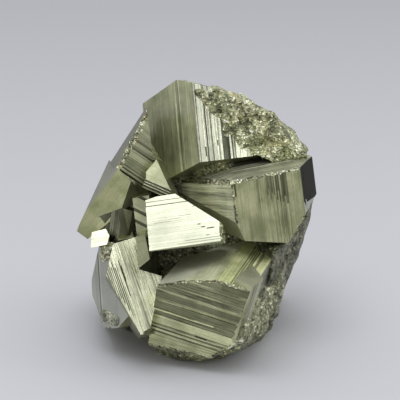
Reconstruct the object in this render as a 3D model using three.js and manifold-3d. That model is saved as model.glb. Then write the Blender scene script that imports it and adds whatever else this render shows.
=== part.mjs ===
// Pyrite cluster: intergrown striated crystals on massive, granular pyrite, broken flat underneath.
// Millimetres, +Z up, the best crystals face -Y, and the specimen rests on its flat base at z = 0.
import * as THREE from "three";
import { mergeVertices } from "three/addons/utils/BufferGeometryUtils.js";
import Module from "manifold-3d";

// driving dimensions, mm and degrees
const cutterSize = 160;        // edge of the blocks that trim a crystal, longer than the specimen
const slabSize = 130;          // starting width and height of a crystal before it is trimmed
const edgeSoftness = 11;       // how sharply the massive pyrite turns from one side to the next
const lumpHeight = 0.55;       // height of the broken lumps on the massive pyrite
const lumpPitch = 5.2;         // distance from one lump to the next
const massDetail = 9;          // subdivisions of each massive body
const shiftToMiddle = [0.78, -4.4, 3.2];   // moves the middle of the cut base onto the origin

// Every crystal is a slab with one leading face. The face passes through at, looks towards heading
// (0 is the front, positive to the right) and rises by rise, and roll turns it in its own plane.
// A side is [direction in the face, lean, distance]: lean 0 is square to the face, a positive lean
// makes a bevel that faces forward, and a negative lean undercuts the crystal.
const crystals = [
  { name: "front cube", at: [12.1, -25.2, 21.2], heading: -18, rise: -4, roll: -12, thick: 30,
    sides: [[93, 0, -0.2], [110, 0, 2.4], [119, -4, 5], [182, 0, 23], [-2, 0, 0.1], [-83, 0, 21.7],
            [-43, 0, 10.8]] },
  { name: "right cube", at: [7.7, -10.7, 43.4], heading: 32, rise: 14, roll: 0, thick: 31,
    sides: [[90, 6, 0], [99, 0, 0], [0, 48, 20], [180.5, 0, 0.3], [-103, -10, 14.3], [0, 0, 30.5],
            [-44, 31, 22.5], [-161, -1, 4.05]] },
  { name: "crown cube", at: [0, -2.5, 45.5], heading: -58, rise: 16, roll: 123, thick: 22,
    sides: [[-90, 0, 0], [91, 0, 22], [3, -10, 24.4], [-25, 10, 19], [180, -12, 0], [-28, -4, 18.5],
            [-40, -20, 19.5]] },
  { name: "bright cube", at: [-12.3, -14.6, 26.9], heading: -8, rise: 47, roll: 12, thick: 11,
    sides: [[179, 0, 0], [-90, 50, 0], [-92, -10, 0.3], [-1, 0, 18.5], [47, 0, 16], [91, 0, 14.5],
            [103, 0, 13.5]] },
  { name: "lower left blade", at: [-21.4, -7.5, 26], heading: 10, rise: 40, roll: 103, thick: 9,
    sides: [[1, 0, 0], [-105, 35, 6], [174, -10, 24], [60, 0, 0], [101, -25, 5.5]] },
  { name: "lower middle blade", at: [-21.4, -7.5, 26], heading: 10, rise: 40, roll: 103, thick: 12,
    sides: [[-34, 0, -4.5], [-121, 0, 13.5], [-168, -10, 23], [101, -25, 5.5], [72, 0, 0.3]] },
  { name: "lower side block", at: [-23.7, -7.3, 21.1], heading: -46, rise: 8, roll: 103, thick: 14,
    sides: [[-7, 0, 3.5], [-74, -50, 4], [-142, 0, 15], [-176, 0, 16.5], [67, 45, 3], [88, 50, 5],
            [115, 49, 8.5]] },
  { name: "left lower cube", at: [-20.3, 1.7, 42.4], heading: -4, rise: 24, roll: 55, thick: 12,
    sides: [[-7, 0, 0], [-72, 40, 4], [-105, -10, 9], [180, 0, 18.5], [109, 10, 5], [89, 28, 0],
            [102, 9, 3]] },
  { name: "left upper cube", at: [-20.4, 2.6, 42.1], heading: 10, rise: 8, roll: -37, thick: 14,
    sides: [[-173, 28, 0.1], [-90, 0, 0.2], [12, 0, 7.5], [42, 0, 9], [-178, -11, 2.5]] },
  { name: "small bright facet", at: [-22.8, -8.3, 26.5], heading: -8, rise: 47, roll: 15, thick: 5,
    sides: [[95, 0, 4], [-22, 0, 0], [18, -20, 1.4], [-90, -30, 0.4], [169, 10, 4]] },
  { name: "short column", at: [-13.5, -8.1, 28.6], heading: -13, rise: 22, roll: 17, thick: 9,
    sides: [[90, 30, 0], [-1, 0, 0], [172, 0, 2.3], [-64, -20, 5.5]] },
  { name: "stepped block", at: [-14.8, -3.2, 32], heading: -18, rise: 27, roll: -19, thick: 9,
    sides: [[125, 20, 4.5], [28, 0, 2.3], [-145, 0, 1.5], [-57, 0, 5.5]] },
  { name: "pale wedge", at: [-13.3, -1.2, 40.5], heading: 5, rise: 38, roll: -28, thick: 8,
    sides: [[-91, 0, 0], [-154, 0, 0], [168, 0, 1.3], [49, 20, 4.5]] },
  { name: "small pale facet", at: [-20.4, -2.5, 25.1], heading: 11, rise: 30, roll: 7, thick: 13,
    sides: [[92, 0, 1.6], [8, 0, 4], [-90, 0, 0.1], [168, 0, 0]] },
  // crystals on the far side
  { name: "back upper cube", at: [-5, 28, 36], heading: 172, rise: 16, roll: 18, thick: 16,
    sides: [[0, 0, 10], [90, 0, 9], [180, 0, 8], [-90, 0, 10]] },
  { name: "back lower cube", at: [-10, 27, 14], heading: 200, rise: -3, roll: -24, thick: 18,
    sides: [[0, 0, 9], [90, 0, 10], [180, 0, 9], [-90, 0, 11], [-135, 30, 10]] },
  { name: "back right cube", at: [9, 27, 21], heading: 164, rise: 6, roll: 38, thick: 16,
    sides: [[0, 0, 8], [90, 0, 8], [180, 0, 9], [-90, 0, 8]] },
];

// The massive pyrite between and behind the crystals: each body is bounded by broken sides, given
// as [heading, rise, distance from the middle], and the sides run softly into each other.
const massiveBodies = [
  { name: "crest", middle: [12.3, 17.6, 48.2],
    sides: [[14, 13, 8.5], [144, 72, 8.2], [111, 54, 5.9], [99, 36, 8.7], [90, -10, 17], [-90, 0, 13],
            [20, -71, 11], [180, 0, 12]] },
  { name: "right side", middle: [18.4, 7.8, 21.2],
    sides: [[82, -9, 8.5], [80, -16, 8.2], [90, -30, 11.6], [67, -38, 14.9], [67, -16, 6], [-58, -1, 9],
            [20, 74, 7], [0, -90, 26], [180, 0, 16]] },
  { name: "foot", middle: [1.3, -5.7, 7.5],
    sides: [[-18, -48, 13.7], [-18, -4, 13], [38, -59, 12.6], [59, -47, 14.2], [-52, -52, 15.6],
            [-90, 0, 13.5], [70, 0, 15], [90, -25, 18.2], [0, 90, 7], [0, -90, 14], [180, 0, 26]] },
  { name: "heart", middle: [-2.6, 12.9, 23.5],
    sides: [[0, 10, 11], [-45, 0, 17], [-98, 30, 25], [-85, -4, 23], [90, 0, 25.2], [71, -25, 31.3],
            [-148, 76, 12.4], [-58, 60, 9.6], [0, -90, 32], [180, 10, 14], [140, 25, 20]] },
  { name: "left shoulder", middle: [-9, 18, 36],
    sides: [[-98, 30, 12.5], [-58, 16, 5.3], [-10, 5, 8], [180, 10, 8], [90, 0, 11], [0, 80, 14],
            [0, -90, 14]] },
];

const wasm = await Module();
wasm.setup();
const degrees = Math.PI / 180;

// a three.js geometry as a closed manifold solid
function toSolid(geometry) {
  geometry.deleteAttribute("normal");
  geometry.deleteAttribute("uv");
  const merged = mergeVertices(geometry, 1e-4);
  const vertProperties = new Float32Array(merged.attributes.position.array);
  const triVerts = new Uint32Array(merged.index.array);
  return new wasm.Manifold(new wasm.Mesh({ numProp: 3, vertProperties, triVerts }));
}

function toGeometry(solid) {
  const mesh = solid.getMesh();
  const geometry = new THREE.BufferGeometry();
  geometry.setAttribute("position", new THREE.BufferAttribute(mesh.vertProperties, 3));
  geometry.setIndex(new THREE.BufferAttribute(mesh.triVerts, 1));
  return geometry;
}

// the way a face looks: heading round from the front, rise above level
function lookDirection(heading, rise) {
  const h = heading * degrees;
  const r = rise * degrees;
  return new THREE.Vector3(Math.sin(h) * Math.cos(r), -Math.cos(h) * Math.cos(r), Math.sin(r));
}

// a face's own axes: across, up the face, and outward
function faceAxes(heading, rise, roll) {
  const outward = lookDirection(heading, rise);
  const level = new THREE.Vector3(Math.cos(heading * degrees), Math.sin(heading * degrees), 0);
  const across = level.applyAxisAngle(outward, roll * degrees);
  const up = new THREE.Vector3().crossVectors(outward, across);
  return { across, up, outward };
}

// a box behind a plane: the box's front face lies on the plane through point, looking along outward
function boxBehind(point, across, up, outward, width, height, depth) {
  const box = new THREE.BoxGeometry(width, height, depth);
  const place = new THREE.Matrix4().makeBasis(across, up, outward);
  place.setPosition(point.clone().addScaledVector(outward, -depth / 2));
  box.applyMatrix4(place);
  return toSolid(box);
}

// one crystal: its slab, trimmed by a block in front of each side
function makeCrystal(crystal) {
  const { across, up, outward } = faceAxes(crystal.heading, crystal.rise, crystal.roll);
  const corner = new THREE.Vector3(...crystal.at);
  let solid = boxBehind(corner, across, up, outward, slabSize, slabSize, crystal.thick);
  for (const [direction, lean, distance] of crystal.sides) {
    const inFace = across.clone().multiplyScalar(Math.cos(direction * degrees));
    inFace.addScaledVector(up, Math.sin(direction * degrees));
    const sideOut = inFace.clone().multiplyScalar(Math.cos(lean * degrees));
    sideOut.addScaledVector(outward, Math.sin(lean * degrees));
    const along = new THREE.Vector3().crossVectors(outward, inFace);
    const upSide = new THREE.Vector3().crossVectors(sideOut, along);
    const onSide = corner.clone().addScaledVector(inFace, distance);
    const size = cutterSize;
    const keep = boxBehind(onSide, along, upSide, sideOut, size, size, size);
    solid = solid.intersect(keep);
  }
  return solid;
}

// low lumps of the broken surface, between -1 and 1, from three crossing waves
function lump(x, y, z) {
  const k = 2 * Math.PI / lumpPitch;
  const first = Math.sin(k * (0.8 * x + 0.6 * y + 1.3 * Math.sin(0.35 * z)));
  const second = Math.sin(k * (0.7 * z - 0.5 * x + 0.9 * Math.sin(0.31 * y)));
  const third = Math.sin(k * (0.9 * y + 0.5 * z + 1.1 * Math.sin(0.27 * x)));
  return (first + second + third) / 3;
}

// one massive body: a ball pulled in, direction by direction, to the sides that bound it
function makeMassive(body) {
  const ball = new THREE.IcosahedronGeometry(1, massDetail);
  const positions = ball.attributes.position;
  const normals = body.sides.map(([heading, rise]) => lookDirection(heading, rise));
  const direction = new THREE.Vector3();
  const middle = new THREE.Vector3(...body.middle);
  for (let i = 0; i < positions.count; i++) {
    direction.fromBufferAttribute(positions, i).normalize();
    let total = 0;
    normals.forEach((normal, side) => {
      const closeness = Math.max(0, normal.dot(direction)) / body.sides[side][2];
      total += Math.pow(closeness, edgeSoftness);
    });
    const reach = Math.pow(total, -1 / edgeSoftness);
    const point = middle.clone().addScaledVector(direction, reach);
    point.addScaledVector(direction, lumpHeight * lump(point.x, point.y, point.z));
    positions.setXYZ(i, point.x, point.y, point.z);
  }
  return toSolid(ball);
}

// grow everything together into one solid, then break it off flat underneath
let cluster = null;
for (const solid of [...massiveBodies.map(makeMassive), ...crystals.map(makeCrystal)]) {
  cluster = cluster ? cluster.add(solid) : solid;
}
const floor = new THREE.Vector3(0, 0, -shiftToMiddle[2]);
const east = new THREE.Vector3(1, 0, 0);
const north = new THREE.Vector3(0, 1, 0);
const skyward = new THREE.Vector3(0, 0, 1);
cluster = cluster.subtract(boxBehind(floor, east, north, skyward, cutterSize, cutterSize, cutterSize));

const pyrite = new THREE.MeshStandardMaterial({ color: 0xb5b48c, roughness: 0.3, metalness: 1.0 });
pyrite.name = "pyrite";

const geometry = toGeometry(cluster);
geometry.translate(...shiftToMiddle);
const mesh = new THREE.Mesh(geometry, pyrite);
mesh.name = "pyrite_cluster";

const specimen = new THREE.Group();
specimen.add(mesh);
export default specimen;
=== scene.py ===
import bpy
import math
import numpy as np
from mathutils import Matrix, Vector


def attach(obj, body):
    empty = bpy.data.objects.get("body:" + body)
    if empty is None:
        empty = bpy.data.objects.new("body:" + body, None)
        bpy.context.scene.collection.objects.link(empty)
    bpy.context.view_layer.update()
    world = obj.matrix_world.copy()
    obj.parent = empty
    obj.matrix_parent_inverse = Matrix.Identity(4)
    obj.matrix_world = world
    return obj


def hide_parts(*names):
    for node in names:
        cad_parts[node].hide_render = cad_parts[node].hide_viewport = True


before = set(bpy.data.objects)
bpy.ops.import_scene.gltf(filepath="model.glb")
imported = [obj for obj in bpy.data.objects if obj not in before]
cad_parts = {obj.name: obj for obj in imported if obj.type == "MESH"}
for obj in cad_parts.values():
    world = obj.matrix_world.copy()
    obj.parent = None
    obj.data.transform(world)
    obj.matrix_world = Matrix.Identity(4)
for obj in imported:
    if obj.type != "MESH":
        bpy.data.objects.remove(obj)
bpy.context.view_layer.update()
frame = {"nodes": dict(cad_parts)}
print("frame loaded:", ", ".join(frame["nodes"]))

mm = 0.001
shift = np.array([0.78, -4.4, 3.2])      # the middle of the cut base onto the origin, as in the frame


def look(run="none", tone=0.8, grey=0.2, dull=0.35, fine=0.5, pitch=0.8, step=0.08, tilt=3.0, spread=0.12,
         bands=()):
    # how one face is finished, with its painted light and shade. run: none = smooth, along = striae along
    # the shared edge (or level on a leading face), deep or up = across that, broken = a fracture. tone:
    # painted light and shade, how bright the metal is drawn on this face, set face by face for the light,
    # shade and reflections it shows, grey: how far its brass colour is lost, on the brightest faces also a
    # painted highlight that whitens them, dull: how far its gloss is lost to a thin film of tarnish, fine:
    # how strongly the finest lines show, pitch: mean width of a stria in mm, step: how far in mm striae sit
    # back, tilt: how far they lean in degrees, spread: how much their tones differ, bands: striae given one
    # by one in mm, (start, end, tilt, tone) across the face and, for a short one, also (from, to) along it,
    # each band's tone a painted streak of light or shade
    return dict(run=run, tone=tone, grey=grey, dull=dull, fine=fine, pitch=pitch, step=step, tilt=tilt,
                spread=spread, bands=bands)


smooth = look()
ruledAlong = look("along")
ruledDeep = look("deep")
shadedSide = look(tone=0.3)
chipped = look("broken", tone=1.15, grey=0.25, dull=0.4)
rim = look("broken", tone=1.3, grey=0.35, dull=0.15)          # bright crumbled edge between two faces
# a crumbled edge drawn darker than rim (tone 0.9) and with more tarnish film
dimRim = look("broken", tone=0.9, grey=0.3, dull=0.3)
darkRim = look("broken", tone=0.45, grey=0.3)

frontFace = look("along", tone=0.52, grey=0.15, dull=0.3, fine=1.0, pitch=0.5, step=0.05, tilt=7,
                 spread=0.28, bands=[
    (-2.9, -0.3, 12, 0.35, -7, 2), (-3.4, -3.0, -8, 0.85), (-8.3, -7.6, -4, 0.7), (-12.9, -10.9, 4, 0.42),
    (-13.45, -13.0, -35, 1.3, -24, -7), (-14.6, -13.5, 6, 0.5), (-17.0, -14.7, -1, 1.1),
    (-17.5, -17.1, 20, 0.1, -11, -8), (-17.9, -17.5, -1, 1.05), (-18.3, -18.0, 8, 0.4),
    (-19.0, -18.4, -1, 1.05), (-19.4, -19.1, 8, 0.4), (-24.0, -19.5, -1, 1.05)])
# the front cube's top, in three facets from right to left, painted brighter than the metal (tone
# 1.4 to 1.6, the left one also greyer) as painted light where the bright cube above shades it
frontTopRight = look("deep", tone=1.4, grey=0.0, dull=1.0, fine=0.8, pitch=0.6, step=0.05, tilt=5,
                     spread=0.25, bands=[
    (9.0, 13.0, 3, 0.95), (8.6, 8.9, -5, 1.6), (5.6, 8.5, -1, 1.6), (5.1, 5.4, 12, 0.45),
    (4.5, 4.7, 12, 0.4), (3.9, 4.1, 12, 0.5), (3.3, 3.5, 12, 0.4), (1.9, 2.6, 6, 0.5),
    (-0.6, 1.7, -2, 1.3)])
frontTopMiddle = look("deep", tone=1.6, grey=0.25, dull=1.0, fine=0.3, pitch=2.5, tilt=2, spread=0.08)
frontTopLeft = look(tone=1.5, grey=0.5, dull=1.0)

rightFace = look("up", tone=0.86, grey=0.1, fine=0.55, pitch=1.3, step=0.03, tilt=2, spread=0.08, bands=[
    (-0.4, 0.35, 3, 0.95), (0.4, 0.75, 25, 0.15, -4, 0.2), (0.8, 6.6, 0, 0.88), (6.65, 7.2, 4, 0.72),
    (7.8, 9.5, 0, 0.95), (9.55, 9.95, 6, 0.5, -5.2, 1), (10.0, 10.3, 9, 0.38, -3.6, 1),
    (10.35, 10.9, 5, 0.62, -6.5, 1), (10.95, 11.25, 9, 0.32, -4.8, 1), (11.3, 11.5, 3, 0.8, -7, 1),
    (11.55, 11.85, 9, 0.4, -5.5, 1), (11.9, 12.2, -4, 1.0, -6, 1), (12.25, 12.6, 10, 0.3, -6.8, 1),
    (12.65, 13.0, 8, 0.36, -4.6, 1), (13.05, 13.3, 10, 0.3, -7.4, 1), (13.35, 13.8, -4, 1.0, -6, 1),
    (13.85, 14.3, 9, 0.32, -7.6, 1), (14.35, 14.9, 9, 0.26, -6.2, 1), (14.95, 15.6, 9, 0.36, -8.2, 1),
    (15.7, 19.1, 0, 0.95)])
# cracked top of the right cube, its cracks drawn as dark bands, a painted shade
rightTop = look("along", tone=0.85, grey=0.45, dull=0.6, pitch=1.2, tilt=4, spread=0.15, bands=[
    (-19.5, -17.5, 4, 0.6), (-15.1, -14.6, 20, 0.15, -18, -9), (-13.9, -13.0, -6, 1.2),
    (-12.6, -12.3, 15, 0.3), (-10.8, -10.4, 20, 0.15, -17, -8), (-9.9, -9.0, -6, 1.2),
    (-8.6, -8.3, 20, 0.2, -14, -2)])
rightTopLeft = look("along", tone=0.75, grey=0.4, dull=0.8, pitch=0.7, tilt=6, spread=0.3)
# bevel at the far right painted near-black (tone 0.15), a painted dark reflection, brassy again in
# its lower part
rightBevel = look("along", tone=0.15, grey=0.7, dull=0.1, pitch=0.7, spread=0.5, bands=[
    (-14, -3, 0, 0.7, -40, -9.2), (-2.95, -2.0, 3, 0.75, -40, -8.4), (-1.95, -1.0, -3, 0.7, -40, -9.6),
    (-0.95, 0.3, 0, 0.75, -40, -8.9)])
# painted light: the right cube's left side is drawn brighter than the metal (tone 1.3), lifting the dark
# reflections it gets from the crystals around it
rightCubeLeftSide = look("deep", tone=1.3, grey=0.3, dull=1.0, fine=0.7, pitch=0.6, step=0.04, tilt=5)

crownFace = look("along", tone=0.8, grey=0.2, dull=0.6, fine=0.8, pitch=0.9, step=0.03, tilt=2,
                 spread=0.1, bands=[
    (18.6, 23, 0, 0.62), (14.5, 18.4, 1, 0.6), (14.0, 14.25, 20, 1.2, 8, 14), (10.6, 13.9, 1, 0.68),
    (8.3, 10.5, 0, 0.85), (7.4, 8.1, -3, 1.3), (6.4, 7.3, 2, 0.7), (5.7, 6.1, 0, 1.25),
    (3.4, 5.6, 1, 0.95), (0.5, 3.3, 0, 1.15)])
crownBrightSide = look("along", tone=1.1, grey=0.5, dull=0.2, fine=0.6, pitch=0.6, step=0.05,
                       tilt=3, bands=[
    (-0.45, 0.2, 0, 0.62), (-0.62, -0.47, 14, 0.3), (-2.0, -0.66, 0, 0.65),
    (-2.4, -2.05, 20, 0.15, 1.8, 4.3), (-2.7, -2.45, 0, 0.65), (-3.1, -2.75, 14, 0.35),
    (-4.3, -3.15, 3, 0.72), (-4.65, -4.35, 10, 0.5), (-5.9, -4.7, 0, 0.85),
    (-6.25, -5.95, 20, 0.2, 5, 6.6), (-6.8, -6.35, 6, 0.7), (-7.5, -6.85, 0, 1.0), (-9.75, -7.55, 15, 0.5),
    (-10.4, -9.8, 0, 1.1), (-10.8, -10.45, 12, 0.5), (-11.3, -10.85, 4, 0.9), (-11.6, -11.35, 12, 0.5),
    (-12.9, -11.65, 0, 1.1)])

# the brightest face: nearly smooth, with a few thin lines and short pits, painted dark as painted
# shade; its grey of 0.5 whitens it as a painted highlight
brightFace = look("along", tone=0.66, grey=0.5, dull=0.2, fine=0.08, pitch=2.5, step=0.03,
                  tilt=0.5, spread=0.03, bands=[
    (13.2, 13.35, 15, 0.5), (12.0, 12.2, 15, 0.45), (10.4, 10.6, 20, 0.2, 11.6, 12.4),
    (8.3, 8.42, 15, 0.4, 8, 11), (7.75, 7.88, 15, 0.4, 5.5, 8.5), (7.15, 7.28, 15, 0.4, 2, 6),
    (6.75, 6.87, 15, 0.45, -2, 2.4), (5.25, 5.5, 20, 0.12, 12.4, 13.1), (4.35, 4.6, 20, 0.1, 13.2, 14.2),
    (3.8, 4.1, 22, 0.1, 14.5, 16.3), (2.0, 2.2, 20, 0.15, 14.2, 15.0), (1.3, 1.5, 12, 0.4, 9, 20),
    (0.6, 0.8, 12, 0.4, 7, 20)])
brightTerrace = look("along", tone=0.6, pitch=0.5, tilt=10, spread=0.4)

# the two lower blades are one crystal face, ribbed on its left
bladeFace = look("along", tone=1.22, grey=0.4, dull=0.2, fine=0.8, pitch=0.42, step=0.04, tilt=5,
                 spread=0.2, bands=[
    (3.95, 4.5, 0, 1.25), (3.65, 3.9, 12, 0.6, -14, -6), (3.2, 3.4, 12, 0.5, -17, -5),
    (2.75, 2.95, 12, 0.4, -16, -4), (2.3, 2.5, 12, 0.28, -14, -5.5), (1.85, 2.08, 12, 0.2, -15.5, -4.5),
    (1.4, 1.65, 12, 0.22, -17.5, -6), (0.98, 1.15, 12, 0.42, -19, -5), (0.3, 0.95, 0, 1.3),
    (0.05, 0.25, 20, 0.1, -14, -4.5), (-0.12, 0.0, 20, 0.12, -10, -6), (-1.2, -0.2, 0, 1.15)])
bladeSide = look(tone=0.6, grey=0.4)
greyFace = look("along", tone=0.72, grey=0.85, fine=0.1, pitch=3, step=0.03, tilt=1, spread=0.04,
                bands=[(2.2, 2.45, 25, 0.3)])
greySide = look(tone=0.6, grey=0.9)
leftLowerFace = look("along", tone=0.93, grey=0.05, fine=0.25, pitch=3, step=0.02, tilt=1, spread=0.05)
leftUpperFace = look("along", tone=0.7, grey=0.2, pitch=0.7, step=0.1, tilt=6, spread=0.2, bands=[
    (-0.1, 0.3, 25, 0.12), (0.6, 0.85, 0, 1.0), (0.9, 1.25, 15, 0.2), (1.7, 1.95, 15, 0.3),
    (3.4, 3.6, 12, 0.4), (6.2, 6.7, 20, 0.25), (8.2, 8.8, 20, 0.3)])
smallBrightFace = look("along", tone=0.8, grey=0.35, dull=0.2, fine=0.3, pitch=0.8, step=0.03, tilt=2,
                       spread=0.1)
columnFace = look("along", tone=0.62, grey=0.2, pitch=1.2, step=0.12, tilt=4, spread=0.2,
                  bands=[(5.0, 6.3, 15, 0.3), (3.2, 3.7, 15, 0.35), (-9, -0.2, 1, 0.95)])
steppedFace = look("along", tone=0.8, grey=0.25, pitch=0.8, step=0.25, tilt=8, spread=0.3, bands=[
    (-6.0, -2.15, 2, 0.8), (-2.1, -1.5, 25, 0.2), (-1.45, 0.25, -3, 0.95), (0.3, 0.95, 25, 0.2),
    (1.0, 3.6, 2, 0.85), (3.65, 4.3, 25, 0.2), (4.35, 6.0, 0, 0.9)])
wedgeFace = look("along", tone=0.85, grey=0.2, fine=0.12, pitch=3, step=0.02, tilt=0.8, spread=0.04)
smallPaleFace = look("along", tone=0.75, grey=0.3, pitch=1.5, step=0.03, tilt=1)
# painted shade: the recess face and its top are drawn dark (tones 0.3 and 0.5) for the shade in the recess
recessFace = look("up", tone=0.3, grey=0.3, dull=0.3, fine=0.9, pitch=0.6, tilt=10, spread=0.5)
recessTop = look("along", tone=0.5, grey=0.4, spread=0.3)
ledgeFace = look("along", tone=0.5, grey=0.25, pitch=0.45, step=0.2, tilt=15, spread=0.6,
                 bands=[(-0.9, -0.6, 25, 0.15), (-0.2, 0.1, 25, 0.2), (0.5, 0.75, 25, 0.2)])
stripFace = look("up", tone=0.85, grey=0.3, dull=0.5, fine=0.3, pitch=1.5, step=0.05, tilt=3, spread=0.08)


def plainSides(right, top, left, bottom):
    # the four sides of a plain cube, each so far from the middle of its leading face
    return [(0, 0, right, ruledDeep), (90, 0, top, ruledAlong), (180, 0, left, ruledDeep), (-90, 0, bottom)]


# one crystal: a slab thick mm deep whose leading face passes through at and turns by (heading, rise,
# roll): heading 0 is the front and positive is to the right, roll is in its own plane; then its
# sides, each (direction in the face, lean, distance from at, finish), smooth where no finish is
# given. Crystals with the same seed have the same striae
# the sides' tones are painted light and shade too: sides drawn darker than their face, such as shadedSide and
# the tones of 0.3 to 0.6, are painted shade, tones above 1 painted light
cluster = {
    "frontCube": dict(
        at=(12.1, -25.2, 21.2), turn=(-18, -4, -12), thick=30, face=frontFace,
        sides=[(93, 0, -0.2, frontTopRight), (110, 0, 2.4, frontTopMiddle), (119, -4, 5, frontTopLeft),
               (93, 48, -0.65, dimRim), (110, 48, 1.95, dimRim), (119, 44, 4.55, dimRim),
               (182, 0, 23, ruledAlong), (-2, 0, 0.1, look(tone=0.5, grey=0.4)), (-83, 0, 21.7, chipped),
               (-43, 0, 10.8, chipped), (-83, 50, 20.6, chipped), (-43, 50, 9.9, chipped)]),
    "rightCube": dict(
        at=(7.7, -10.7, 43.4), turn=(32, 14, 0), thick=31, face=rightFace,
        sides=[(90, 6, 0, rightTop), (99, 0, 0, rightTopLeft), (0, 48, 20, rightBevel),
               (180.5, 0, 0.3, rightCubeLeftSide), (-103, -10, 14.3), (0, 0, 30.5, ruledAlong),
               (-44, 31, 22.5, chipped), (-160, -5, 3.7, look(tone=0.75, grey=0.2, dull=0.8)),
               (90, 50, -0.55, rim), (135, 0, -0.55, rim), (180.5, 50, 0.0, darkRim)]),
    "crownCube": dict(
        at=(0, -2.5, 45.5), turn=(-58, 16, 123), thick=22, face=crownFace,
        sides=[(-90, 0, 0, crownBrightSide), (91, 0, 22, ruledAlong), (3, -10, 24.4), (-25, 10, 19),
               (180, -12, 0), (-28, -4, 18.5, chipped), (-40, -20, 19.5, chipped)]),
    "brightCube": dict(
        at=(-12.3, -14.6, 26.9), turn=(-8, 47, 12), thick=11, face=brightFace,
        sides=[(179, 0, 0, ruledDeep), (-90, 50, 0, brightTerrace), (-92, -34, 0.3, look("along", tone=0.3)),
               (-1, 0, 18.5, chipped), (-1, 48, 17.7, chipped), (47, 0, 16), (91, 0, 14.5), (103, 0, 13.5)]),
    "lowerLeftBlade": dict(
        at=(-21.4, -7.5, 26), turn=(10, 40, 103), thick=9, face=bladeFace, seed=21,
        sides=[(1, 0, 0), (-105, 35, 6, look("along", tone=0.5, grey=0.4)), (174, -10, 24), (60, 0, 0),
               (101, -7, 5.5, bladeSide)]),
    "lowerMiddleBlade": dict(
        at=(-21.4, -7.5, 26), turn=(10, 40, 103), thick=12, face=bladeFace, seed=21,
        sides=[(-34, 0, -4.5), (-121, 0, 13.5), (-168, -10, 23), (101, -7, 5.5, bladeSide), (72, 0, 0.3)]),
    "lowerSideBlock": dict(
        at=(-23.7, -7.3, 21.1), turn=(-46, 8, 103), thick=14, face=greyFace,
        sides=[(-7, 0, 3.5), (-74, -50, 4), (-142, 0, 15), (-176, 0, 16.5, chipped),
               (67, 45, 3, greySide), (88, 50, 5, greySide), (115, 49, 8.5, greySide)]),
    "leftLowerCube": dict(
        at=(-20.3, 1.7, 42.4), turn=(-4, 24, 55), thick=12, face=leftLowerFace,
        sides=[(-7, 0, 0), (-72, 40, 4, look(tone=0.35, grey=0.3)), (-105, -10, 9, shadedSide),
               (180, 0, 18.5), (109, 10, 5), (89, 28, 0, look(tone=0.55, grey=0.6)), (102, 9, 3)]),
    "leftUpperCube": dict(
        at=(-20.4, 2.6, 42.1), turn=(10, 8, -37), thick=14, face=leftUpperFace,
        sides=[(-173, 28, 0.1, look(tone=0.52, grey=0.8)), (-173, 62, -0.5, rim), (-90, 0, 0.2, shadedSide),
               (12, 0, 7.5), (42, 0, 9), (-178, -11, 2.5)]),
    "smallBrightFacet": dict(
        at=(-22.8, -8.3, 26.5), turn=(-8, 47, 15), thick=5, face=smallBrightFace,
        sides=[(95, 0, 4), (-22, 0, 0), (18, -20, 1.4), (-90, -30, 0.4), (169, 10, 4)]),
    "shortColumn": dict(
        at=(-13.5, -8.1, 28.6), turn=(-13, 22, 17), thick=9, face=columnFace,
        sides=[(90, 30, 0), (-1, 0, 0), (172, 0, 2.3), (-64, -20, 5.5)]),
    "steppedBlock": dict(
        at=(-14.8, -3.2, 32), turn=(-18, 27, -19), thick=9, face=steppedFace,
        sides=[(125, 20, 4.5), (28, 0, 2.3), (-145, 0, 1.5), (-57, 0, 5.5)]),
    "paleWedge": dict(
        at=(-13.3, -1.2, 40.5), turn=(5, 38, -28), thick=8, face=wedgeFace,
        sides=[(-91, 0, 0, ruledAlong), (-154, 0, 0), (168, 0, 1.3), (49, 20, 4.5)]),
    "smallPaleFacet": dict(
        at=(-20.4, -2.5, 25.1), turn=(11, 30, 7), thick=13, face=smallPaleFace,
        sides=[(92, 0, 1.6), (8, 0, 4), (-90, 0, 0.1), (168, 0, 0)]),
    "recessFacet": dict(
        at=(-21, -3.9, 31), turn=(-12, 16, -4), thick=9, face=recessFace,
        sides=[(118, 0, 2.2, look(tone=0.5)), (180, 0, 6), (0, 0, 3.4), (-90, 0, 3.5),
               (75, 0, 3.2, look(tone=0.5)), (20, 40, 1.2, recessTop)]),
    "stripedLedge": dict(
        at=(-11.2, -2.0, 39.0), turn=(-10, 25, -20), thick=7, face=ledgeFace,
        sides=[(90, 0, 1.0), (-90, 0, 1.3), (180, 0, 2.9), (0, 0, 4.2)]),
    "rightStrip": dict(
        at=(10.5, -24.2, 13.9), turn=(60, -17, 0), thick=5, face=stripFace,
        sides=[(0, 30, 5, chipped), (180, 0, 0.05), (96, 0, 8.2, look(tone=0.55, grey=0.4)),
               (-80, 0, 8, chipped)]),
    "backUpperCube": dict(
        at=(-5, 28, 36), turn=(172, 16, 18), thick=16, face=look("along", tone=0.8),
        sides=plainSides(10, 9, 8, 10)),
    "backLowerCube": dict(
        at=(-10, 27, 14), turn=(200, -3, -24), thick=18, face=look("along", tone=0.75),
        sides=plainSides(9, 10, 9, 11) + [(-135, 30, 10)]),
    "backRightCube": dict(
        at=(9, 27, 21), turn=(164, 6, 38), thick=16, face=look("up", tone=0.8),
        sides=plainSides(8, 8, 9, 8)),
}
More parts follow.
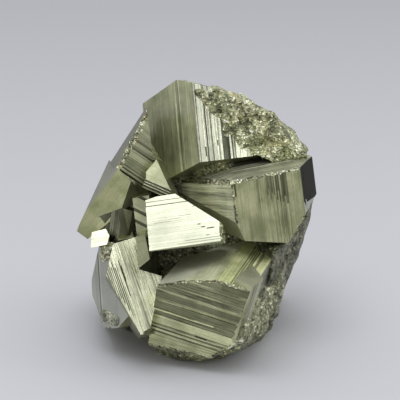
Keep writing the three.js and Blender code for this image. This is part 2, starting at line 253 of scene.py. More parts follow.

# the massive pyrite between and behind the crystals: a middle, broken sides (heading, rise,
# distance from the middle) that run softly into each other, and the flow its grains follow; rows
# is how finely it is divided, lumps how high its low lumps are where they differ from the grain's
# tone is each body's painted light and shade: the crest in the light is painted bright (1.26), the right side
# (0.4), the heart and the left shoulder darker as painted shade
massive = {
    "crest": dict(middle=(12.3, 17.6, 48.2), rows=180, lumps=1.5, tone=1.26, grey=0.2,
                  flow=(0.8, 0.1, -0.6), sides=[
        (14, 13, 8.5), (144, 72, 8.2), (111, 54, 5.9), (99, 36, 8.7), (90, -10, 17), (-90, 0, 13),
        (20, -71, 11), (180, 0, 12)]),
    "rightSide": dict(middle=(18.4, 7.8, 21.2), rows=168, tone=0.4, grey=0.35, flow=(-0.2, 0.1, 1.0), sides=[
        (82, -9, 8.5), (80, -16, 8.2), (90, -30, 11.6), (67, -38, 14.9), (67, -16, 6), (-58, -1, 9),
        (20, 74, 7), (0, -90, 26), (180, 0, 16)]),
    "foot": dict(middle=(1.3, -5.7, 7.5), rows=150, tone=0.85, grey=0.25, flow=(1.0, 0.3, 0.2), sides=[
        (-18, -48, 13.7), (-18, -4, 13), (38, -59, 12.6), (59, -47, 14.2), (-52, -52, 15.6),
        (-90, 0, 13.5), (70, 0, 15), (90, -25, 18.2), (0, 90, 7), (0, -90, 14), (180, 0, 26)]),
    "heart": dict(middle=(-2.6, 12.9, 23.5), rows=148, tone=0.62, grey=0.35, flow=(-0.2, 0.1, 1.0), sides=[
        (0, 10, 11), (-45, 0, 17), (-98, 30, 25), (-85, -4, 23), (90, 0, 25.2), (71, -25, 31.3),
        (-148, 76, 12.4), (-58, 60, 9.6), (0, -90, 32), (180, 10, 14), (140, 25, 20)]),
    "leftShoulder": dict(middle=(-9, 18, 36), rows=110, tone=0.7, grey=0.35, flow=(0.3, 0.3, 0.9), sides=[
        (-98, 30, 12.5), (-58, 16, 5.3), (-10, 5, 8), (180, 10, 8), (90, 0, 11), (0, 80, 14),
        (0, -90, 14)]),
    "upperKnob": dict(middle=(-22.6, -7.3, 24.0), rows=16, lumps=0.2, tone=1.1, grey=0.4,
                      flow=(0, 0, 1), sides=[
        (-60, 20, 1.3), (40, 0, 1.5), (120, 0, 2), (-150, 0, 2), (0, 90, 1.6), (0, -90, 2.0)]),
    "lowerKnobs": dict(middle=(-22.2, -10.7, 7.6), rows=22, lumps=0.5, tone=0.9, grey=0.6,
                       flow=(1, -1, 0), sides=[
        (-45, 0, 1.2), (45, 0, 3.4), (-135, 0, 2.6), (135, 0, 2), (-45, 75, 1.5), (-45, -70, 1.3)]),
}
# hollow broken out of the massive pyrite under the crown cube; its walls are painted at tone 0.8,
# lighter than the heart around it, as painted light in the hollow's shade
hollow = dict(middle=(14, 8, 43), rows=60, tone=0.8, grey=0.3, flow=(1, 0, 0), sides=[
    (0, 0, 8), (70, 0, 3.4), (-90, 0, 6), (180, 0, 6), (90, 68, 0.8), (0, -90, 3)])
softness = 11            # how sharply one broken side turns into the next
# packed grains and low lumps of the massive pyrite in mm; stretch draws coarse grains out along the
# flow, skew slants their facets, point sharpens them, rim is the size of a grain, dull its tarnish
grain = dict(coarse=2.0, coarseHeight=0.5, fine=0.75, fineHeight=0.3, stretch=2.4, skew=0.9, point=0.25,
             rim=0.55, lumpPitch=5.2, lumpHeight=0.8, dull=0.4)
# the lumps' three waves, each with two slopes and its bend: (how much, along which axis), and for
# the bend also how slowly it turns
lumpWaves = [((0.8, 0), (0.6, 1), (1.3, 0.35, 2)), ((0.7, 2), (-0.5, 0), (0.9, 0.31, 1)),
             ((0.9, 1), (0.5, 2), (1.1, 0.27, 0))]


def srgb(code):
    # sRGB hex to linear with alpha 1: a channel c gives c / 12.92 up to 0.04045 and
    # ((c + 0.055) / 1.055) to the power 2.4 above it
    channels = [int(code[i:i + 2], 16) / 255 for i in (1, 3, 5)]
    return tuple(c / 12.92 if c <= 0.04045 else ((c + 0.055) / 1.055) ** 2.4 for c in channels) + (1.0,)


def addNode(tree, kind, links=(), values=(), **settings):
    # one shader node with its settings: links are (input, source), a source being a socket or a
    # node whose first output is meant, values are its inputs after the first, in_Name or in_3 sets
    # one input
    node = tree.nodes.new("ShaderNode" + kind)
    for at, value in enumerate(values, start=1):
        node.inputs[at].default_value = value
    for name, value in settings.items():
        if name.startswith("in_"):
            key = name[3:]
            node.inputs[int(key) if key.isdigit() else key.replace("_", " ")].default_value = value
        else:
            setattr(node, name, value)
    for key, source in links:
        tree.links.new(getattr(source, "outputs", [source])[0], node.inputs[key])
    return node


def newMaterial(name):
    # an empty material and its node tree
    material = bpy.data.materials.new(name)
    material.use_nodes = True
    tree = material.node_tree
    tree.nodes.clear()
    return material, tree


def rampStops(node, stops):
    # colour ramp stops from (position, colour) pairs
    elements = node.color_ramp.elements
    while len(elements) > len(stops):
        elements.remove(elements[-1])
    while len(elements) < len(stops):
        elements.new(0.5)
    for element, (position, colour) in zip(elements, stops):
        element.position = position
        element.color = colour


# what all the metal shares: clean brass, brass dulled to olive, the grey where its colour is lost,
# how dark and bright broad clouds make it, how metallic it is under full tarnish and how much
# rougher. Scales are per metre: 85 is clouds about 12 mm across, 190 patches about 5 mm across
metal = dict(clean="#D0D19E", tarnished="#ACB17B", grey="#CACBC3", cloudScale=85.0, cloud=(0.84, 1.16),
             filmMetal=0.3, filmRough=0.35)


def metalSurface(tree, patchScale, gloss):
    # colour = (clean to tarnished brass by patches, mixed towards grey by the face's greyness)
    # * tone * cloud, tone being the face's painted light and shade; the face's dullness lowers metallic
    # from 1 to filmMetal and, with the patches, raises roughness from gloss to gloss + filmRough; dark
    # faces lose their coloured glancing light
    place = addNode(tree, "TexCoord").outputs["Object"]
    lightAndFinish = addNode(tree, "SeparateXYZ", [("Vector", addNode(tree, "UVMap", uv_map="lightAndFinish"))])
    film = addNode(tree, "SeparateXYZ", [("Vector", addNode(tree, "UVMap", uv_map="film"))])
    tone, grey, dull, fine = lightAndFinish.outputs[0], lightAndFinish.outputs[1], film.outputs[0], film.outputs[1]
    patches = addNode(tree, "TexNoise", [("Vector", place)], in_Scale=patchScale, in_Detail=5.0,
                      in_Roughness=0.62)
    tint = addNode(tree, "ValToRGB", [("Fac", patches)])
    rampStops(tint, [(0.38, srgb(metal["tarnished"])), (0.6, srgb(metal["clean"]))])
    broad = addNode(tree, "TexNoise", [("Vector", place)], in_Scale=metal["cloudScale"], in_Detail=2.0)
    cloud = addNode(tree, "MapRange", [("Value", broad)], (0.3, 0.7, *metal["cloud"]))
    shade = addNode(tree, "Math", [(0, tone), (1, cloud)], operation="MULTIPLY")
    greyed = addNode(tree, "Mix", [(0, grey), (6, tint)], data_type="RGBA", in_7=srgb(metal["grey"]))
    colour = addNode(tree, "VectorMath", [(0, greyed.outputs[2]), ("Scale", shade)], operation="SCALE")
    worn = addNode(tree, "Math", [(0, patches), (2, dull)], operation="MULTIPLY_ADD", in_1=0.35)
    shine = [("Metallic", addNode(tree, "MapRange", [("Value", dull)], (0.0, 1.0, 1.0, metal["filmMetal"]))),
             ("Roughness", addNode(tree, "MapRange", [("Value", worn)],
                                   (0.0, 1.3, gloss, gloss + metal["filmRough"]))),
             ("Specular Tint", addNode(tree, "MapRange", [("Value", tone)], (0.0, 0.5, 0.0, 1.0)))]
    return dict(place=place, patches=patches, colour=colour, fine=fine, shine=shine)


# striated pyrite, a growth face of fool's gold: two crystal forms growing by turns rule it with
# parallel striae, so that its mirror-bright pale brass breaks reflections into streaks. The real
# striae are down to hundredths of a mm apart, too fine to show, so the finest are drawn coarser,
# about 0.5 mm apart. Scales here are per mm, along and across the striae; furrow and crest give
# where in the line pattern they begin and end, and how much they darken or brighten, furrow as a
# painted shade and crest as a painted highlight: streaks of reflection painted into the colour
striated = dict(patchScale=190.0, gloss=0.12, ridgeScale=(0.05, 1.5, 1), ridgeHeight=0.00015,
                lineScale=(0.05, 1.9, 1), furrow=(0.4, 0.43, -0.6, 0.0), crest=(0.57, 0.6, 0.0, 0.45))


def striatedPyrite():
    # colour = metal colour * (1 + fine * (furrow + crest)), height = fine * ridges; furrow is painted
    # shade and crest a painted highlight
    material, tree = newMaterial("striatedPyriteFace")
    base = metalSurface(tree, striated["patchScale"], striated["gloss"])
    fine = base["fine"]
    place = addNode(tree, "UVMap", uv_map="striae")
    medium = addNode(tree, "Mapping", [("Vector", place)], in_Scale=striated["ridgeScale"])
    ridges = addNode(tree, "TexNoise", [("Vector", medium)], noise_dimensions="2D", in_Scale=1.0,
                     in_Detail=4.0, in_Roughness=0.75)
    small = addNode(tree, "Mapping", [("Vector", place)], in_Scale=striated["lineScale"])
    lines = addNode(tree, "TexNoise", [("Vector", small)], noise_dimensions="2D", in_Scale=1.0,
                    in_Detail=3.0, in_Roughness=0.7)
    relief = addNode(tree, "Math", [(0, ridges), (1, fine)], operation="MULTIPLY")
    bump = addNode(tree, "Bump", [("Height", relief)], in_Strength=1.0, in_Distance=striated["ridgeHeight"])
    furrow = addNode(tree, "MapRange", [("Value", lines)], striated["furrow"])
    crest = addNode(tree, "MapRange", [("Value", lines)], striated["crest"])
    both = addNode(tree, "Math", [(0, furrow), (1, crest)], operation="ADD")
    shade = addNode(tree, "Math", [(0, both), (1, fine)], operation="MULTIPLY_ADD", in_2=1.0)
    ruled = addNode(tree, "VectorMath", [(0, base["colour"]), ("Scale", shade)], operation="SCALE")
    shader = addNode(tree, "BsdfPrincipled", base["shine"] + [("Base Color", ruled), ("Normal", bump)])
    addNode(tree, "OutputMaterial", [("Surface", shader)])
    return material


# smooth pyrite, a growth face of fool's gold without striae: grown slowly as one flat sheet and
# since hazed by a thin film of olive tarnish, it gives broad, soft reflections. Patches about 7 mm
smoothFace = dict(patchScale=150.0, gloss=0.14, bump=0.5, height=0.0003)


def plainPyrite():
    # the metal colour as it is, height = patches
    material, tree = newMaterial("smoothPyriteFace")
    base = metalSurface(tree, smoothFace["patchScale"], smoothFace["gloss"])
    bump = addNode(tree, "Bump", [("Height", base["patches"])], in_Strength=smoothFace["bump"],
                   in_Distance=smoothFace["height"])
    shader = addNode(tree, "BsdfPrincipled",
                     base["shine"] + [("Base Color", base["colour"]), ("Normal", bump)])
    addNode(tree, "OutputMaterial", [("Surface", shader)])
    return material


# massive pyrite, granular fool's gold: small grains grew packed against each other and broke
# across, so each glints its own way between dark pits; both are painted into the colour, each grain's
# brightness (dark) and bright specks (spark) as painted glints and the pits' darkening (pitShade) as
# painted shade. Grains are about 0.5 mm, pits 1 mm, rust 3 mm, patches 4 mm, veins 5 mm; dark to
# veined carry a pattern's range (the first two numbers) to a brightness or an amount of rust (the last two)
granular = dict(patchScale=260.0, gloss=0.16, grainScale=1900.0, pitScale=1000.0, rustScale=330.0,
                veinScale=210.0, rust="#E8D2B4", dark=(0.05, 0.3, 0.3, 0.9), spark=(0.82, 0.9, 0.0, 1.3),
                pitShade=(0.36, 0.52, 0.45, 1.0), rusty=(0.5, 0.66, 0.0, 0.45),
                veined=(0.36, 0.64, 0.55, 1.45), grainHeight=0.0005, pitHeight=0.0004)


def granularPyrite():
    # colour = metal colour, tinted by rust, * pitShade * (dark + spark) * veined, where dark and spark
    # are each grain's own painted glint and pitShade the painted shade of the pits; height = distance
    # from a grain's middle, then the pits
    material, tree = newMaterial("granularMassivePyrite")
    base = metalSurface(tree, granular["patchScale"], granular["gloss"])
    place = [("Vector", base["place"])]
    cells = addNode(tree, "TexVoronoi", place, in_Scale=granular["grainScale"], feature="F1")
    own = addNode(tree, "SeparateXYZ", [("Vector", cells.outputs["Color"])])
    dark = addNode(tree, "MapRange", [("Value", own.outputs["X"])], granular["dark"])
    spark = addNode(tree, "MapRange", [("Value", own.outputs["Y"])], granular["spark"])
    small = addNode(tree, "TexNoise", place, in_Scale=granular["pitScale"], in_Detail=4.0, in_Roughness=0.7)
    pitShade = addNode(tree, "MapRange", [("Value", small)], granular["pitShade"])
    glint = addNode(tree, "Math", [(0, dark), (1, spark)], operation="ADD")
    depth = addNode(tree, "Math", [(0, pitShade), (1, glint)], operation="MULTIPLY")
    rust = addNode(tree, "TexNoise", place, in_Scale=granular["rustScale"], in_Detail=3.0, in_Roughness=0.6)
    rusty = addNode(tree, "MapRange", [("Value", rust)], granular["rusty"])
    tinted = addNode(tree, "Mix", [(0, rusty), (6, base["colour"])], data_type="RGBA",
                     blend_type="MULTIPLY", in_7=srgb(granular["rust"]))
    veins = addNode(tree, "TexNoise", place, in_Scale=granular["veinScale"], in_Detail=3.0,
                    in_Roughness=0.55, in_Distortion=1.2)
    veined = addNode(tree, "MapRange", [("Value", veins)], granular["veined"])
    shade = addNode(tree, "Math", [(0, depth), (1, veined)], operation="MULTIPLY")
    pitted = addNode(tree, "VectorMath", [(0, tinted.outputs[2]), ("Scale", shade)], operation="SCALE")
    grainBump = addNode(tree, "Bump", [("Height", cells.outputs["Distance"])], in_Strength=0.8,
                        in_Distance=granular["grainHeight"])
    bump = addNode(tree, "Bump", [("Height", small), ("Normal", grainBump)], in_Strength=0.6,
                   in_Distance=granular["pitHeight"])
    shader = addNode(tree, "BsdfPrincipled", base["shine"] + [("Base Color", pitted), ("Normal", bump)])
    addNode(tree, "OutputMaterial", [("Surface", shader)])
    return material


materials = [striatedPyrite(), plainPyrite(), granularPyrite()]
striatedIndex, plainIndex, granularIndex = 0, 1, 2
print("materials made:", ", ".join(m.name for m in materials))


def placeObject(name, data):
    # a new object in the scene
    piece = bpy.data.objects.new(name, data)
    bpy.context.scene.collection.objects.link(piece)
    return piece


def lookDirection(heading, rise):
    # unit vector that looks round by heading from the front and up by rise
    h, r = math.radians(heading), math.radians(rise)
    return np.array([math.sin(h) * math.cos(r), -math.cos(h) * math.cos(r), math.sin(r)])


def faceAxes(heading, rise, roll):
    # a face's own axes: across, up and outward, the first two turned by roll about the third
    outward = lookDirection(heading, rise)
    level = np.array([math.cos(math.radians(heading)), math.sin(math.radians(heading)), 0.0])
    raised = np.cross(outward, level)
    c, s = math.cos(math.radians(roll)), math.sin(math.radians(roll))
    return level * c + raised * s, raised * c - level * s, outward


def makeMesh(name, vertices, faces, materialIndices, striae, lightAndFinish, film):
    # vertices in mm around the cluster's own middle, faces as index lists; for every corner its
    # place in mm along and across the striae, its face's tone (painted light and shade) and greyness,
    # and its film: dullness and how strongly the finest lines show
    mesh = bpy.data.meshes.new(name)
    mesh.from_pydata(((vertices + shift) * mm).tolist(), [], faces)
    mesh.polygons.foreach_set("material_index", materialIndices)
    for layerName, values in (("striae", striae), ("lightAndFinish", lightAndFinish), ("film", film)):
        layer = mesh.uv_layers.new(name=layerName)
        layer.data.foreach_set("uv", np.asarray(values, dtype=np.float32).ravel())
    for material in materials:
        mesh.materials.append(material)
    mesh.update()
    return placeObject(name, mesh)


# sheets of striae, in mm: span is half a sheet's side, wide more than half of any face, riser the
# gap between two striae, riserTone how dark it is, thin the least width of a stria, setBack how
# far a listed one sits back, rows how many points it has along, broad the width from which its
# finest lines show only by broadFine, toneLimits the darkest and brightest metal
ruling = dict(span=40.0, wide=99.0, riser=0.03, riserTone=0.4, thin=0.02, setBack=0.02, rows=9, broad=1.3,
              broadFine=0.5, toneLimits=(0.04, 1.35))
# sheets of fracture, in mm: rough within half of the shared edge, in steps of pitch, shaken by up to
# jitter, between deepest and highest, then a plain strip out to outer and beyond
fracture = dict(rows=170, half=2.0, pitch=0.4, jitter=0.15, deepest=-0.3, highest=0.15, outer=9.0,
                outerHeight=-0.1, tones=(0.6, 1.2))


def striaeBands(style, rng, span):
    # the striae of one face from -span to span, side by side: start, end, lean, set back, tone,
    # and where along the face each one starts and ends. A random one is pitch times a lognormal
    # number wide; one in four is level, the rest lean by a normal number times tilt
    wanted = sorted(style["bands"])
    wide, riser = ruling["wide"], ruling["riser"]
    bands, at = [], -span
    while at < span:
        if wanted and at >= wanted[0][0] - 0.05:
            start, end, tilt, tone, *reach = wanted.pop(0)
            bands.append((start, end, math.radians(tilt), ruling["setBack"], tone, *(reach or (-wide, wide))))
            at = end + riser
            continue
        width = style["pitch"] * rng.lognormal(-0.25, 0.6)
        if wanted:
            width = min(width, wanted[0][0] - riser - at)
        width = max(width, ruling["thin"])
        lean = 0.0 if rng.random() < 0.25 else rng.normal(0, style["tilt"])
        tone = style["tone"] * (1 + style["spread"] * rng.normal())
        bands.append((at, at + width, math.radians(lean), style["step"] * rng.random(), tone, -wide, wide))
        at += width + riser
    return np.array(bands)


def smoothSheet(style, span):
    # one flat cell
    s, t = np.meshgrid([-span, span], [-span, span], indexing="ij")
    return s, t, np.zeros_like(s), np.full((1, 1), style["tone"]), np.full((1, 1), style["fine"])


def brokenSheet(style, rng, span):
    # points in steps along and across the edge, each shaken about its place and at a random height;
    # a cell's tone is the face's tone times a random number
    half, outer, jitter = fracture["half"], fracture["outer"], fracture["jitter"]
    near = np.arange(-half, half + 0.01, fracture["pitch"])
    t = np.concatenate([[-span, -outer], near, [outer, span]])
    s, t = np.meshgrid(np.linspace(-span, span, fracture["rows"]), t, indexing="ij")
    inner = (np.abs(t) < half - 0.1) & (np.abs(s) < span - 1)
    s = s + inner * rng.uniform(-jitter, jitter, s.shape)
    t = t + inner * rng.uniform(-jitter, jitter, t.shape)
    rough = rng.uniform(fracture["deepest"], fracture["highest"], t.shape)
    h = np.where(np.abs(t) < outer, rough, fracture["outerHeight"])
    tones = style["tone"] * rng.uniform(*fracture["tones"], (s.shape[0] - 1, s.shape[1] - 1))
    return s, t, h, tones, np.zeros_like(tones)


def fitStria(s, fromS, toS, span):
    # moves the points along one short stria so that one lies at each of its ends, the rest even
    first = int(np.argmin(np.abs(s[1:-2] - fromS))) + 1
    s[first] = fromS
    stop = first + 1 + int(np.argmin(np.abs(s[first + 1:] - toS)))
    s[first + 1:stop] = np.linspace(fromS, toS, stop - first + 1)[1:-1]
    s[stop] = toS
    s[stop + 1:] = np.linspace(toS, span, len(s) - stop)[1:]
    s[:first] = np.linspace(-span, fromS, first + 1)[:-1]


def ruledSheet(style, rng, span):
    # rows along the striae, two columns for each stria. A stria is a strip whose height at its two
    # sides is -back - |rise| - rise and -back - |rise| + rise, with rise = tan(lean) * half its
    # width, times a strength that wanders along it; the cells between strips are the risers,
    # painted dark by riserTone as a painted shade
    bands = striaeBands(style, rng, span)
    count, rows = len(bands), ruling["rows"]
    start, end, lean, back, tone, fromS, toS = bands.T
    s = np.repeat(np.linspace(-span, span, rows)[:, None], count, 1)
    gap = 2 * span / (rows - 1)
    s[1:-1] += rng.uniform(-0.4, 0.4, (rows - 2, count)) * gap
    for column in np.nonzero(fromS > -ruling["wide"])[0]:
        fitStria(s[:, column], fromS[column], toS[column], span)
    middle = (s[:-1] + s[1:]) / 2
    active = (middle > fromS) & (middle < toS)
    cellTone = np.where(active, tone, style["tone"]) * rng.normal(1, 0.04, active.shape)
    onRow = np.concatenate([active[:1], active[:-1] & active[1:], active[-1:]])
    rise = np.tan(lean) * (end - start) / 2 * onRow
    strength = np.clip(rng.normal(0.9, 0.2, s.shape), 0.3, 1.2)
    low = (-back - np.abs(rise) - rise) * strength
    high = (-back - np.abs(rise) + rise) * strength
    sAll = np.repeat(s, 2, 1)
    tAll = np.repeat(np.stack([start, end], 1).reshape(1, -1), rows, 0)
    h = np.stack([low, high], 2).reshape(rows, -1)
    tones = np.repeat(cellTone, 2, 1)
    # painted shade: the risers are drawn darker by riserTone
    tones[:, 1::2] *= ruling["riserTone"]
    fineness = np.where(end - start > ruling["broad"], ruling["broadFine"], 1.0)
    fines = np.repeat(fineness * style["fine"], 2)
    return sAll, tAll, h, tones[:, :-1], np.broadcast_to(fines, tones.shape)[:, :-1]


def sheetGrid(style, rng, span):
    # a face's surface: places along and across the striae and height of every point, then tone
    # and fineness of every cell
    if style["run"] == "none":
        return smoothSheet(style, span)
    return (brokenSheet if style["run"] == "broken" else ruledSheet)(style, rng, span)


def reliefBlock(name, corner, along, across, outward, depth, style, rng, span=ruling["span"]):
    # a block whose front is a sheet: corner + along * s + across * t + outward * height, closed by
    # four walls and a flat back
    s, t, h, tones, fines = sheetGrid(style, rng, span)
    points = corner + s[..., None] * along + t[..., None] * across + h[..., None] * outward
    rows, columns = s.shape
    index = np.arange(rows * columns).reshape(rows, columns)
    quads = np.stack([index[:-1, :-1], index[1:, :-1], index[1:, 1:], index[:-1, 1:]], -1).reshape(-1, 4)
    ends = [(s[0, 0], t[0, 0]), (s[-1, 0], t[-1, 0]), (s[-1, -1], t[-1, -1]), (s[0, -1], t[0, -1])]
    backPoints = np.array([corner - depth * outward + a * along + b * across for a, b in ends])
    b0, b1, b2, b3 = range(rows * columns, rows * columns + 4)
    walls = [list(index[:, 0][::-1]) + [b0, b1], list(index[-1, :][::-1]) + [b1, b2],
             list(index[:, -1]) + [b2, b3], list(index[0, :]) + [b3, b0], [b0, b3, b2, b1]]
    if np.dot(np.cross(along, across), outward) < 0:
        quads = quads[:, ::-1]
        walls = [wall[::-1] for wall in walls]
    faces = quads.tolist() + [[int(v) for v in wall] for wall in walls]
    front = {"none": plainIndex, "broken": granularIndex}.get(style["run"], striatedIndex)
    corners = quads.ravel()
    wallCorners = sum(len(wall) for wall in walls)
    striae = np.stack([s.ravel()[corners], t.ravel()[corners]], 1)
    striae = np.concatenate([striae, np.zeros((wallCorners, 2))])
    tone = np.concatenate([np.repeat(tones.ravel(), 4), np.full(wallCorners, style["tone"])])
    lightAndFinish = np.stack([np.clip(tone, *ruling["toneLimits"]), np.full(len(tone), style["grey"])], 1)
    fine = np.concatenate([np.repeat(fines.ravel(), 4), np.zeros(wallCorners)])
    film = np.stack([np.full(len(fine), style["dull"]), fine], 1)
    materialIndices = [front] * len(quads) + [plainIndex] * len(walls)
    vertices = np.concatenate([points.reshape(-1, 3), backPoints])
    return makeMesh(name, vertices, faces, materialIndices, striae, lightAndFinish, film)


def combine(base, other, operation):
    # join, cut or intersect two closed meshes and keep the result in the first
    modifier = base.modifiers.new("combine", "BOOLEAN")
    modifier.operation = operation
    modifier.solver = "MANIFOLD"
    modifier.object = other
    bpy.context.view_layer.update()
    result = bpy.data.meshes.new_from_object(base.evaluated_get(bpy.context.evaluated_depsgraph_get()))
    base.modifiers.remove(modifier)
    old = base.data
    base.data = result
    bpy.data.meshes.remove(old)
    otherMesh = other.data
    bpy.data.objects.remove(other)
    bpy.data.meshes.remove(otherMesh)
    return base


keepDepth = 90.0         # how far in mm a crystal is kept behind each of its sides, past its far end


def makeCrystal(name, crystal, seed):
    # the slab behind the leading face, kept only behind each of its sides in turn. A side lies at
    # corner + inFace * distance and faces inFace * cos(lean) + outward * sin(lean), where inFace
    # is the side's direction in the leading face
    across, up, outward = faceAxes(*crystal["turn"])
    corner = np.array(crystal["at"], float)
    rng = np.random.default_rng(crystal.get("seed", seed))
    ruled, over = (up, across) if crystal["face"]["run"] == "up" else (across, up)
    solid = reliefBlock(name, corner, ruled, over, outward, crystal["thick"], crystal["face"], rng)
    for direction, lean, distance, *lightAndFinish in crystal["sides"]:
        style = lightAndFinish[0] if lightAndFinish else smooth
        d, l = math.radians(direction), math.radians(lean)
        inFace = across * math.cos(d) + up * math.sin(d)
        sideOut = inFace * math.cos(l) + outward * math.sin(l)
        edge = np.cross(outward, inFace)
        deep = np.cross(sideOut, edge)
        ruled, over = (deep, edge) if style["run"] == "deep" else (edge, deep)
        keep = reliefBlock(name + "Side", corner + inFace * distance, ruled, over, sideOut, keepDepth,
                           style, rng)
        solid = combine(solid, keep, "INTERSECT")
    return solid


def hashed(cells, salt):
    # three pseudo-random numbers from 0 to 1 for each whole-number cell, the same every time: its
    # numbers times large primes, mixed bit by bit, then shifted and multiplied again for each
    x, y, z = (cells[..., i].astype(np.int64) for i in range(3))
    n = (x * 73856093) ^ (y * 19349663) ^ (z * 83492791) ^ (salt * 2654435761)
    values = []
    for _ in range(3):
        n = (n ^ (n >> 13)) * 1274126177 & 0x7FFFFFFF
        n = n ^ (n >> 16)
        values.append((n & 0xFFFF) / 65535.0)
    return np.stack(values, -1)


def grains(points, pitch, salt):
    # packed grains: height = rim - the distance to the nearest of the jittered cell middles. The
    # distance is the largest of a, b and c plus point times their sum, where a, b and c are the
    # steps along three skewed axes, which gives flat facets
    scaled = points / pitch
    base = np.floor(scaled)
    nearest = np.full(len(points), np.inf)
    for step in np.ndindex(3, 3, 3):
        cell = base + np.array(step) - 1
        turn = grain["skew"] * (hashed(cell, salt + 7) - 0.5)
        offset = scaled - cell - hashed(cell, salt)
        a, b, c = (np.abs(offset[:, i] + turn[:, i] * offset[:, (i + 1) % 3]) for i in range(3))
        distance = np.maximum(np.maximum(a, b), c) + grain["point"] * (a + b + c)
        nearest = np.minimum(nearest, distance)
    return grain["rim"] - nearest


def lump(p):
    # low lumps of the broken surface: the mean of three crossing waves, each
    # sin(k * (two slopes + a bend * sin(slowly along the third axis))), k = 2 pi / lumpPitch
    k = 2 * math.pi / grain["lumpPitch"]
    total = 0
    for (first, u), (second, v), (bend, slow, w) in lumpWaves:
        total = total + np.sin(k * (first * p[..., u] + second * p[..., v] + bend * np.sin(slow * p[..., w])))
    return total / 3


def makeMassive(name, body):
    # a ball pulled in, direction by direction, to the sides that bound it:
    # reach = (sum over sides of (closeness / distance) ^ softness) ^ (-1 / softness),
    # then raised or lowered by the lumps and the packed grains
    rows = body["rows"]
    columns = rows * 2
    polar = np.linspace(0, math.pi, rows + 1)[1:-1]
    turn = np.arange(columns) * (2 * math.pi / columns)
    polar, turn = np.meshgrid(polar, turn, indexing="ij")
    directions = np.stack([np.sin(polar) * np.cos(turn), np.sin(polar) * np.sin(turn), np.cos(polar)], -1)
    directions = np.concatenate([directions.reshape(-1, 3), [[0, 0, 1], [0, 0, -1]]])
    total = np.zeros(len(directions))
    for heading, rise, distance in body["sides"]:
        total += np.maximum(0, directions @ lookDirection(heading, rise) / distance) ** softness
    reach = total ** (-1 / softness)
    points = np.array(body["middle"], float) + directions * reach[:, None]
    flow = np.array(body["flow"]) / np.linalg.norm(body["flow"])
    drawn = points - (1 - 1 / grain["stretch"]) * (points @ flow)[:, None] * flow
    height = body.get("lumps", grain["lumpHeight"]) * lump(points)
    height += grain["coarseHeight"] * grains(drawn, grain["coarse"], salt=3)
    height += grain["fineHeight"] * grains(points, grain["fine"], salt=11)
    points = points + directions * height[:, None]
    index = np.arange((rows - 1) * columns).reshape(rows - 1, columns)
    nextColumn = np.roll(index, -1, axis=1)
    quads = np.stack([index[:-1], index[1:], nextColumn[1:], nextColumn[:-1]], -1).reshape(-1, 4)
    top, bottom = len(points) - 2, len(points) - 1
    caps = [[top, int(a), int(b)] for a, b in zip(index[0], nextColumn[0])]
    caps += [[bottom, int(b), int(a)] for a, b in zip(index[-1], nextColumn[-1])]
    faces = quads.tolist() + caps
    corners = len(quads) * 4 + len(caps) * 3
    lightAndFinish = np.tile([body["tone"], body["grey"]], (corners, 1))
    film = np.tile([grain["dull"], 0.0], (corners, 1))
    striae = np.zeros((corners, 2))
    return makeMesh(name, points, faces, [granularIndex] * len(faces), striae, lightAndFinish, film)


underside = dict(depth=40.0, span=60.0)      # the block that cuts the cluster off flat, in mm


def makeCluster():
    # all massive bodies joined, less the hollow, joined with every crystal, less what lies below
    # the floor
    whole = None
    for name, body in massive.items():
        part = makeMassive(name, body)
        whole = part if whole is None else combine(whole, part, "UNION")
    whole = combine(whole, makeMassive("hollow", hollow), "DIFFERENCE")
    print("massive pyrite:", len(whole.data.polygons), "faces")
    for seed, (name, crystal) in enumerate(cluster.items(), start=100):
        part = makeCrystal(name, crystal, seed)
        count = len(part.data.polygons)
        whole = combine(whole, part, "UNION")
        print("crystal", name, count, "faces, whole", len(whole.data.polygons))
    below = reliefBlock("underCut", np.array([0, 0, -shift[2]]), *np.eye(3), underside["depth"], smooth,
                        None, underside["span"])
    whole = combine(whole, below, "DIFFERENCE")
    whole.name = "pyriteCluster"
    whole.data.name = "pyriteCluster"
    return whole


specimen = makeCluster()
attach(specimen, "root")
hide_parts("pyrite_cluster")
specimen.data.calc_loop_triangles()
print("specimen:", len(specimen.data.polygons), "faces,", len(specimen.data.loop_triangles), "triangles")

# the camera looks at target, in mm, from distance mm away and elevation degrees up; lens and sensor
# are in mm, clip in m
view = dict(target=(0.78, -4.4, 32.2), distance=400.0, elevation=20.0, lens=144.0, sensor=36.0,
            shiftY=0.055, clip=(0.01, 20.0))
# the floor is floorHalf m each way and is painted darker from fadeFrom to fadeTo m behind the middle
# by backShade, a painted shade for the light falling off; each light's distance and size are in m
studio = dict(floorTone="#D2D2D4", floorHalf=3.0, floorRough=0.7, fadeFrom=0.02, fadeTo=0.4, backShade=0.83,
              lights=[dict(name="overheadBox", direction=(-30, 72), distance=0.55, size=(0.33, 0.27),
                           radiance=2.6, colour="#F4F6FF"),
                      dict(name="rightBox", direction=(88, 29), distance=0.7, size=(0.26, 0.3),
                           radiance=2.2, colour="#F4F6FF")])
# brightness of the room by height, from the floor line to straight up, its tint, and how much
# darker it is in front and brighter behind
room = dict(heights=[(0.0, 0.48), (0.3, 0.48), (0.55, 0.55), (0.75, 0.78), (0.9, 1.05), (1.0, 1.05)],
            tint=(0.98, 0.99, 1.03), front=0.8, back=1.2)


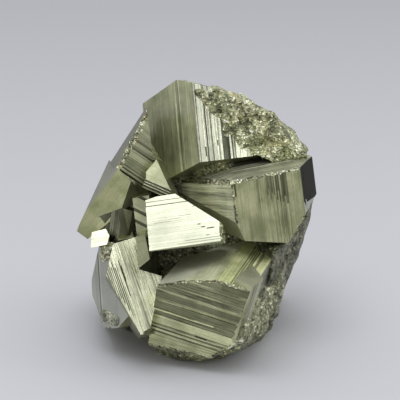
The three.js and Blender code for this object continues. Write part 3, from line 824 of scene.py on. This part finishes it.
# matt backdrop paper: pressed, uncoated pulp that scatters light evenly and gives a pale grey
# ground with no gloss, painted a little darker towards the back as a painted shade for the light
# falling off
def makeFloor():
    # colour = floorTone * (1 to backShade by the distance back), a painted shade
    half = studio["floorHalf"]
    mesh = bpy.data.meshes.new("floor")
    corners = [(-half, -half, 0), (half, -half, 0), (half, half, 0), (-half, half, 0)]
    mesh.from_pydata(corners, [], [(0, 1, 2, 3)])
    floor = placeObject("floor", mesh)
    material, tree = newMaterial("palePaper")
    place = addNode(tree, "SeparateXYZ", [("Vector", addNode(tree, "TexCoord").outputs["Object"])])
    back = addNode(tree, "MapRange", [("Value", place.outputs["Y"])],
                   (studio["fadeFrom"], studio["fadeTo"], 1.0, studio["backShade"]))
    paper = addNode(tree, "VectorMath", [("Scale", back)], operation="SCALE",
                    in_0=srgb(studio["floorTone"])[:3])
    shader = addNode(tree, "BsdfPrincipled", [("Base Color", paper)], in_Roughness=studio["floorRough"])
    addNode(tree, "OutputMaterial", [("Surface", shader)])
    mesh.materials.append(material)


def makeLight(name, direction, distance, size, radiance, colour):
    # a soft box that the specimen sees in the given (heading, rise) direction; its power is its
    # radiance times its area times pi
    middle = Vector(view["target"]) * mm
    away = Vector(lookDirection(*direction).tolist())
    lamp = bpy.data.lights.new(name, "AREA")
    lamp.shape = "RECTANGLE"
    lamp.size, lamp.size_y = size
    lamp.energy = radiance * size[0] * size[1] * math.pi
    lamp.color = srgb(colour)[:3]
    piece = placeObject(name, lamp)
    piece.location = middle + away * distance
    piece.rotation_euler = (-away).to_track_quat("-Z", "Y").to_euler()


def makeWorld():
    # a studio room: its brightness by height, times front to back by the direction's depth
    world = bpy.data.worlds.new("studio")
    bpy.context.scene.world = world
    world.use_nodes = True
    tree = world.node_tree
    tree.nodes.clear()
    direction = addNode(tree, "SeparateXYZ", [("Vector", addNode(tree, "TexCoord").outputs["Generated"])])
    byHeight = addNode(tree, "ValToRGB", [("Fac", direction.outputs["Z"])])
    red, green, blue = room["tint"]
    rampStops(byHeight, [(at, (v * red, v * green, v * blue, 1.0)) for at, v in room["heights"]])
    byDepth = addNode(tree, "MapRange", [("Value", direction.outputs["Y"])],
                      (-1.0, 1.0, room["front"], room["back"]))
    background = addNode(tree, "Background", [("Color", byHeight), ("Strength", byDepth)])
    addNode(tree, "OutputWorld", [("Surface", background)])


def makeCamera():
    # at target + distance * (0, -cos(elevation), sin(elevation)), turned to look at the target
    e = math.radians(view["elevation"])
    camera = bpy.data.cameras.new("camera")
    camera.lens = view["lens"]
    camera.sensor_width = view["sensor"]
    camera.shift_y = view["shiftY"]
    camera.clip_start, camera.clip_end = view["clip"]
    piece = placeObject("camera", camera)
    target = Vector(view["target"]) * mm
    piece.location = target + Vector((0, -math.cos(e), math.sin(e))) * view["distance"] * mm
    piece.rotation_euler = (math.radians(90) - e, 0, 0)
    bpy.context.scene.camera = piece


makeFloor()
for light in studio["lights"]:
    makeLight(**light)
makeWorld()
makeCamera()
bpy.context.scene.view_settings.view_transform = "Standard"
print("floor, lights and camera set")
